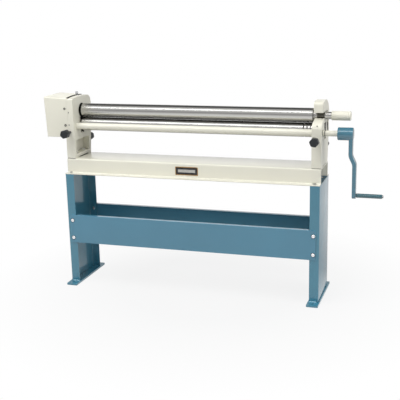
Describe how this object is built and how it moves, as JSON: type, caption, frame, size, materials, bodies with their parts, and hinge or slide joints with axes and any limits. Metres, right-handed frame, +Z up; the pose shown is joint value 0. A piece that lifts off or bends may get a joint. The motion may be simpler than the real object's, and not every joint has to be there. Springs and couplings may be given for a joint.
{
  "type": "slip roll machine",
  "caption": "Hand-cranked slip roll: polished rolls between two cast housings, geared drive with crank, release hook and adjusting knobs, on a bolted sheet-metal stand.",
  "frame": {"origin": "on the floor, at the middle of the machine's overall length and depth", "axes": "+X along the rolls towards the crank, +Y to the rear where the formed sheet leaves, +Z up"},
  "size_m": [1.8608, 0.389, 1.0805],
  "materials": {
    "cream_paint": "semi-gloss cream enamel",
    "blue_paint": "semi-gloss blue enamel",
    "roll_steel": "ground and polished steel",
    "gear_steel": "machined steel, oiled",
    "zinc_steel": "bright zinc plate",
    "bronze": "cast bearing bronze",
    "cast_iron": "machined grey iron",
    "black_plastic": "moulded phenolic, slightly worn"
  },
  "bodies": {
    "stand": {"base_plate_left": "blue_paint", "leg_left": "blue_paint", "base_plate_right": "blue_paint", "leg_right": "blue_paint", "stretcher_front": "blue_paint", "stretcher_back": "blue_paint", "bed": "cream_paint", "coach_bolt_front_left_1": "zinc_steel", "coach_bolt_front_left_2": "zinc_steel", "bed_bolt_front_left": "zinc_steel", "coach_bolt_back_left_1": "zinc_steel", "coach_bolt_back_left_2": "zinc_steel", "bed_bolt_back_left": "zinc_steel", "coach_bolt_front_right_1": "zinc_steel", "coach_bolt_front_right_2": "zinc_steel", "bed_bolt_front_right": "zinc_steel", "coach_bolt_back_right_1": "zinc_steel", "coach_bolt_back_right_2": "zinc_steel", "bed_bolt_back_right": "zinc_steel", "housing_left": "cream_paint", "housing_right": "cream_paint", "housing_bolt_left_1": "zinc_steel", "housing_bolt_left_2": "zinc_steel", "housing_bolt_right_1": "zinc_steel", "housing_bolt_right_2": "zinc_steel", "tie_tube": "cream_paint", "shaft_bush_left": "bronze", "shaft_bush_right": "cream_paint", "gear_cover": "cream_paint", "oil_cup": "cream_paint", "hook_pin": "gear_steel"},
    "pinch": {"lower_block_left": "cast_iron", "lower_block_right": "cast_iron"},
    "lower_roll": {"lower_roll": "roll_steel", "lower_gear": "gear_steel"},
    "upper_carrier": {"trunnion_block": "bronze"},
    "upper_roll": {"upper_roll": "roll_steel", "upper_gear": "gear_steel", "lift_grip": "cream_paint"},
    "drive": {"drive_shaft": "gear_steel", "drive_pinion": "gear_steel", "crank_sleeve": "cream_paint", "crank_arm": "blue_paint", "handle_spindle": "gear_steel"},
    "handle": {"handle_grip": "blue_paint"},
    "rear_carrier": {"rear_block_left": "cast_iron", "rear_block_right": "cast_iron"},
    "rear_roll": {"rear_roll": "roll_steel"},
    "hook": {"release_hook": "cream_paint"},
    "adjuster_front_left": {"knob_front_left": "black_plastic", "screw_front_left": "gear_steel"},
    "adjuster_front_right": {"knob_front_right": "black_plastic", "screw_front_right": "gear_steel"},
    "adjuster_rear_left": {"knob_rear_left": "black_plastic", "screw_rear_left": "gear_steel"},
    "adjuster_rear_right": {"knob_rear_right": "black_plastic", "screw_rear_right": "gear_steel"}
  },
  "joints": [
    {"name": "pinch_slide", "type": "slide", "parent": "stand", "child": "pinch", "axis": [0, 0, 1], "range_m": [-0.001, 0.001]},
    {"name": "lower_roll_spin", "type": "hinge", "parent": "pinch", "child": "lower_roll", "pos_m": [0, 0.008, 0.9], "axis": [1, 0, 0], "continuous": true},
    {"name": "upper_lift", "type": "hinge", "parent": "stand", "child": "upper_carrier", "pos_m": [-0.78198, 0.008, 0.977], "axis": [0, -1, 0], "range_deg": [0, 2.5]},
    {"name": "upper_roll_spin", "type": "hinge", "parent": "upper_carrier", "child": "upper_roll", "pos_m": [0, 0.008, 0.977], "axis": [1, 0, 0], "continuous": true},
    {"name": "drive_spin", "type": "hinge", "parent": "stand", "child": "drive", "pos_m": [0, -0.05818, 0.896], "axis": [1, 0, 0], "continuous": true},
    {"name": "handle_spin", "type": "hinge", "parent": "drive", "child": "handle", "pos_m": [0.79312, -0.05818, 0.579], "axis": [1, 0, 0], "continuous": true},
    {"name": "rear_slide", "type": "slide", "parent": "stand", "child": "rear_carrier", "axis": [0, -0.2588, 0.9659], "range_m": [-0.018, 0.018]},
    {"name": "rear_roll_spin", "type": "hinge", "parent": "rear_carrier", "child": "rear_roll", "pos_m": [0, 0.088, 0.905], "axis": [1, 0, 0], "continuous": true},
    {"name": "hook_open", "type": "hinge", "parent": "stand", "child": "hook", "pos_m": [0.59402, 0.116, 0.938], "axis": [-1, 0, 0], "range_deg": [0, 72]},
    {"name": "knob_front_left_turn", "type": "hinge", "parent": "stand", "child": "adjuster_front_left", "pos_m": [-0.78198, -0.141, 0.866], "axis": [0, 1, 0], "range_deg": [-91, 91]},
    {"name": "knob_front_right_turn", "type": "hinge", "parent": "stand", "child": "adjuster_front_right", "pos_m": [0.59402, -0.141, 0.866], "axis": [0, 1, 0], "range_deg": [-91, 91]},
    {"name": "knob_rear_left_turn", "type": "hinge", "parent": "stand", "child": "adjuster_rear_left", "pos_m": [-0.78198, 0.122, 0.804], "axis": [0, 1, 0], "range_deg": [-1625, 1625]},
    {"name": "knob_rear_right_turn", "type": "hinge", "parent": "stand", "child": "adjuster_rear_right", "pos_m": [0.59402, 0.122, 0.804], "axis": [0, 1, 0], "range_deg": [-1625, 1625]}
  ],
  "couplings": [
    {"joint": "drive_spin", "follows": "lower_roll_spin", "ratio": -1.3571},
    {"joint": "upper_roll_spin", "follows": "lower_roll_spin", "ratio": -1},
    {"joint": "hook_open", "follows": "upper_lift", "ratio": 28},
    {"joint": "knob_front_left_turn", "follows": "pinch_slide", "rad_per_m": 1570.8},
    {"joint": "knob_front_right_turn", "follows": "pinch_slide", "rad_per_m": 1570.8},
    {"joint": "knob_rear_left_turn", "follows": "rear_slide", "rad_per_m": 1570.8},
    {"joint": "knob_rear_right_turn", "follows": "rear_slide", "rad_per_m": 1570.8}
  ]
}
